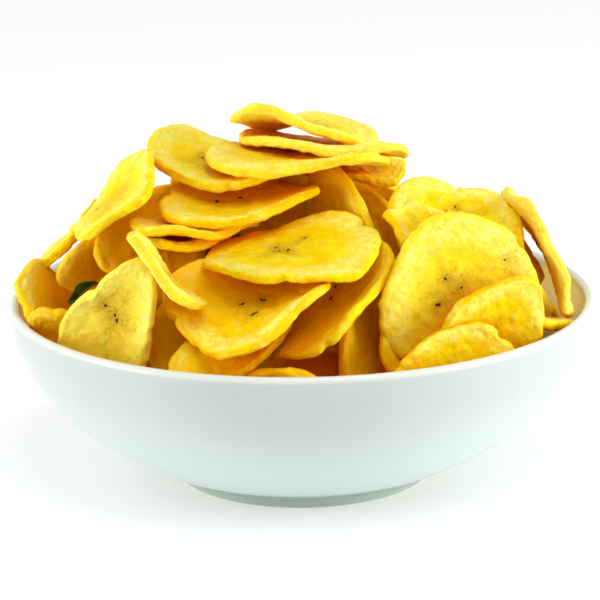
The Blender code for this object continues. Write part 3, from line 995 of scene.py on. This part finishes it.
def painted_shade_layers(nodes, skin):
    """Painted shade: amber deep in the heap, less so on lemon chips, and orange where other chips
    touch.
    """
    deep = nodes.span(skin.open_far, 0.15, 0.65, 0.75, 0.0)
    return [
        (nodes.times(deep, nodes.span(skin.tone, 0.0, 0.3, 0.35, 1.0)), FLESH["deep"]),
        (nodes.span(skin.open_near, 0.05, 0.40, 0.6, 0.0), FLESH["touching_shade"]),
    ]


def fried_banana():
    """Chips: yellow, paler on the rim and the blisters, partly as painted highlight, with amber
    painted shade in hollows and deep gaps.
    """
    nodes = Nodes("fried_banana")
    skin = chip_skin(nodes)
    crease = crease_share(nodes, skin)
    colour = nodes.mix(nodes.span(skin.patches, 0.35, 0.65), FLESH["yellow"], FLESH["bright"])
    colour = nodes.layered(colour, flesh_layers(nodes, skin))
    colour = nodes.mix(pale_and_highlight_share(nodes, skin), colour, FLESH["pale"])
    colour = nodes.mix(crease, colour, FLESH["crease"])
    colour = nodes.layered(colour, heart_layers(nodes, skin) + painted_shade_layers(nodes, skin))
    fine = nodes.bump(nodes.math("SUBTRACT", skin.grain, crease), 0.10)
    return nodes.finish(
        Base_Color=colour,
        Roughness=nodes.span(skin.blotches, 0.3, 0.7, 0.40, 0.60),
        Normal=nodes.bump(skin.blotches, 0.55, under=fine),
        Specular_IOR_Level=0.06,
        Specular_Tint=(1.0, 0.75, 0.1),
        Subsurface_Weight=0.4,
        Subsurface_Radius=(1.0, 0.35, 0.03),
        Subsurface_Scale=0.0014,
    )


def seed_skin():
    """Seeds: dark brown, nearly black, mottled and dull."""
    nodes = Nodes("banana_seed")
    return nodes.finish(
        Base_Color=nodes.mix(nodes.noise(0.4), *SEED_COLOURS),
        Roughness=nodes.span(nodes.noise(0.3), 0.3, 0.7, 0.6, 0.85),
        Specular_IOR_Level=0.05,
    )


def deep_chips():
    """The core: chips too deep in the heap to be told apart, coloured dark orange as painted shade.
    """
    nodes = Nodes("deep_chips")
    return nodes.finish(
        Base_Color=nodes.mix(nodes.noise(9.0), *CORE_SHADE_COLOURS),
        Roughness=0.6,
        Normal=nodes.bump(nodes.noise(2.0), 0.5),
        Specular_IOR_Level=0.1,
    )


def glaze_tint(nodes, height):
    """The glaze: faintly teal, greyer upwards as painted shade, darker at the foot as painted
    contact shade, yellow inside as painted reflection of the chips, and pale on the lip as painted
    highlight.
    """
    wall, foot, chip_reflection = (nodes.span(height, *GLAZE_HEIGHTS[name]) for name in ("wall", "foot", "chip_reflection"))
    cloud = nodes.span(nodes.noise(40.0), 0.3, 0.7)
    reflected_inside = nodes.times(nodes.attribute("inside"), chip_reflection)
    return nodes.layered(nodes.mix(wall, GLAZE["low"], GLAZE["high"]), (
        (nodes.times(cloud, 0.3), GLAZE["cloud"]),
        (foot, GLAZE["foot"]),
        (nodes.times(reflected_inside, 0.9), GLAZE["chip_reflection"]),
        (nodes.span(height, *GLAZE_HEIGHTS["lip"], 0.0, 0.9), GLAZE["lip"]),
        (nodes.span(nodes.noise(0.8, detail=0.0), 0.80, 0.86, 0.0, 0.4), GLAZE["speck"]),
    ))


def porcelain():
    """Glazed porcelain, with a painted reflection of the yellow chips inside, unglazed under the
    foot.
    """
    nodes = Nodes("porcelain")
    height = nodes.add("ShaderNodeSeparateXYZ", Vector=nodes.place()).outputs["Z"]
    glazed = nodes.span(height, *GLAZE_HEIGHTS["start"])
    return nodes.finish(
        Base_Color=nodes.mix(glazed, GLAZE["bare"], glaze_tint(nodes, height)),
        Roughness=nodes.span(glazed, 0.0, 1.0, 0.7, 0.22),
        Normal=nodes.bump(nodes.noise(14.0, detail=1.0), 0.05),
        Specular_IOR_Level=0.4,
        Coat_Weight=0.15,
        Coat_Roughness=0.12,
    )


def fried_leaf():
    """Fried leaf: dark green, browner in patches, with slightly paler veins."""
    nodes = Nodes("fried_leaf")
    vein = nodes.span(nodes.attribute("vein"), 0.2, 1.0, 0.0, 0.35)
    patches = nodes.span(nodes.noise(2.5), 0.35, 0.7)
    return nodes.finish(
        Base_Color=nodes.mix(vein, nodes.mix(patches, *LEAF_COLOURS), LEAF_VEIN_COLOUR),
        Roughness=nodes.span(nodes.noise(3.0), 0.3, 0.7, 0.5, 0.7),
        Normal=nodes.bump(nodes.noise(0.5), 0.08),
        Specular_IOR_Level=0.1,
    )


def pale_floor():
    """The floor: white, and bright enough to run into the background."""
    nodes = Nodes("pale_floor")
    return nodes.finish(
        Base_Color=(0.75, 0.75, 0.75),
        Roughness=0.9,
        Specular_IOR_Level=0.1,
        Emission_Color=(1.0, 1.0, 1.0),
        Emission_Strength=0.3,
    )


# ---- Pieces ----

def inside_share(vertex):
    """How much a corner of the bowl looks towards the axis, from 0 to 1, above its base."""
    outwards = vertex.co.xy.normalized().dot(vertex.normal.xy)
    return smooth(0.5 - outwards) * (vertex.co.z > FLOOR_Z / 2)


def make_bowl():
    """The bowl, finely turned, with its inside marked for the painted reflection of the chips on
    it.
    """
    profile = bowl_profile(FINE_WALL_STEPS, FINE_LIP_STEPS)
    bowl = applied(turned("bowl_porcelain", profile, FINE_BOWL_STEPS))
    mark(bowl.data, "inside", [inside_share(vertex) for vertex in bowl.data.vertices])
    return dress(bowl, porcelain(), "porcelain", "bowl")


def make_core():
    """The heap's core, lower than in the solid so that the gaps are deep, with lumps on it."""
    profile = core_profile(FINE_CORE_WALL_STEPS, FINE_CORE_ROWS, FINE_CORE_TOP_Z, FINE_CORE_FALL)
    core = applied(turned("heap_core", profile, FINE_CORE_STEPS))
    for vertex in core.data.vertices:
        dome = smooth((vertex.co.z - CORE_EDGE_Z) / CORE_LUMP_RUN)
        lump = noise.noise(vertex.co / CORE_LUMP_WIDTH) - CORE_LUMP_SINK
        vertex.co += vertex.co.normalized() * CORE_LUMP * lump * dome
    return dress(core, deep_chips(), "fried_banana", "chips")


def make_chips():
    """The chips of the heap in a few pieces, and the seeds in one."""
    profile = core_profile(WALL_STEPS, CORE_ROWS, CORE_TOP_Z, CORE_FALL)
    core = turned("placement_core", profile, CORE_STEPS)
    ruled = ruled_chips(core)
    bpy.data.objects.remove(core)
    balls = {level: fine_ball(level) for level in (FINE_LEVEL, PLAIN_LEVEL)}
    groups = {
        name: [chip for chip in FRONT_CHIPS if chip.name.split("_")[0] in prefixes]
        for name, prefixes in GROUPS.items()
    }
    groups["chips_ruled"] = ruled
    material = fried_banana()
    specks = []
    for name, chips in groups.items():
        made, more = joined_chips(name, chips, balls)
        dress(made, material, "fried_banana", "chips")
        specks += more
    dress(seed_mesh("chip_seeds", specks), seed_skin(), "fried_banana", "chips")


def vein_share(along, across):
    """How far a place on the leaf lies on its midrib or a side vein, from 0 to 1."""
    midrib = math.exp(-(across / MIDRIB_WIDTH) ** 2)
    crests = math.cos((along - SIDE_VEIN_SLANT * abs(across)) * SIDE_VEINS * math.pi)
    return max(midrib, smooth(SIDE_VEIN_STEEP * crests - SIDE_VEIN_LATE))


def make_leaf():
    """The leaf, folded and finely waved, with a midrib and side veins."""
    mesh = bmesh.new()
    bmesh.ops.create_grid(mesh, x_segments=FINE_LEAF_ROWS, y_segments=FINE_LEAF_COLUMNS, size=1.0)
    length, width = (LEAF_SHRINK * size * MM / 2 for size in LEAF.size)
    fold = math.radians(LEAF_FOLD)
    pose = chip_pose(LEAF)
    veins = []
    for vertex in mesh.verts:
        along, across = vertex.co.x, vertex.co.y
        vein = vein_share(along, across)
        veins.append(vein)
        spread = width * (LEAF_TIP + (1 - LEAF_TIP) * math.cos(along * math.pi / 2))
        wave = LEAF_WAVE * math.sin(LEAF_WAVES * along) + LEAF_WAVE * abs(across)
        lift = wave + LEAF_VEIN_LIFT * vein + spread * abs(across) * math.sin(fold)
        vertex.co = pose @ Vector((length * along, spread * across * math.cos(fold), lift))
    leaf = new_object("fried_leaf", mesh)
    mark(leaf.data, "vein", veins)
    thicken = leaf.modifiers.new("Thickness", "SOLIDIFY")
    thicken.thickness = LEAF_THICKNESS
    thicken.offset = 0.0
    return dress(applied(leaf), fried_leaf(), "fried_leaf", "leaf")


# ---- Stage ----

def make_floor():
    """A wide plain floor."""
    mesh = bmesh.new()
    bmesh.ops.create_grid(mesh, x_segments=1, y_segments=1, size=FLOOR_REACH)
    floor = new_object("floor", mesh)
    floor.data.materials.append(pale_floor())


def softbox(name, place, size, power):
    """A square soft light that faces the bowl."""
    light = bpy.data.lights.new(name, "AREA")
    light.size = size
    light.energy = power
    lamp = bpy.data.objects.new(name, light)
    lamp.location = place
    facing = Vector((0, 0, TARGET_Z)) - lamp.location
    lamp.rotation_euler = facing.to_track_quat("-Z", "Y").to_euler()
    bpy.context.scene.collection.objects.link(lamp)


def make_lights():
    """A white room, dim low down towards the camera, with soft lights beside and above."""
    nodes = Nodes("white_room", "worlds", "Background")
    direction = nodes.add("ShaderNodeTexCoord").outputs["Generated"]
    parts = nodes.add("ShaderNodeSeparateXYZ", Vector=direction).outputs
    level = nodes.span(parts["Y"], *ROOM_DEPTHS, ROOM_FRONT, ROOM_BACK)
    level = nodes.span(parts["Z"], *ROOM_RISES, level, ROOM_ABOVE)
    bpy.context.scene.world = nodes.finish(Color=(1, 1, 1), Strength=level)
    for name, (place, size, power) in SOFTBOXES.items():
        softbox(name, place, size, power)
    bpy.context.scene.view_settings.view_transform = "Standard"


def make_camera():
    """The camera, at the photograph's angle, slightly rolled."""
    rise, roll = math.radians(ELEVATION), math.radians(ROLL)
    away = Vector((0, -math.cos(rise), math.sin(rise)))
    level, upright = Vector((1, 0, 0)), Vector((0, math.sin(rise), math.cos(rise)))
    right = level * math.cos(roll) - upright * math.sin(roll)
    up = upright * math.cos(roll) + level * math.sin(roll)
    data = bpy.data.cameras.new("camera")
    data.sensor_width = SENSOR_MM
    data.lens = SENSOR_MM * FOCAL_PIXELS / IMAGE_SIDE
    data.shift_x = -(TARGET_PIXEL[0] - IMAGE_SIDE / 2) / IMAGE_SIDE
    data.shift_y = (TARGET_PIXEL[1] - IMAGE_SIDE / 2) / IMAGE_SIDE
    camera = bpy.data.objects.new("camera", data)
    place = Vector((0, 0, TARGET_Z)) + away * DISTANCE
    turn = Matrix((right, up, away)).transposed().to_4x4()
    camera.matrix_world = Matrix.Translation(place) @ turn
    bpy.context.scene.collection.objects.link(camera)
    bpy.context.scene.camera = camera


make_camera()
make_bowl()
make_core()
make_chips()
make_leaf()
make_floor()
make_lights()
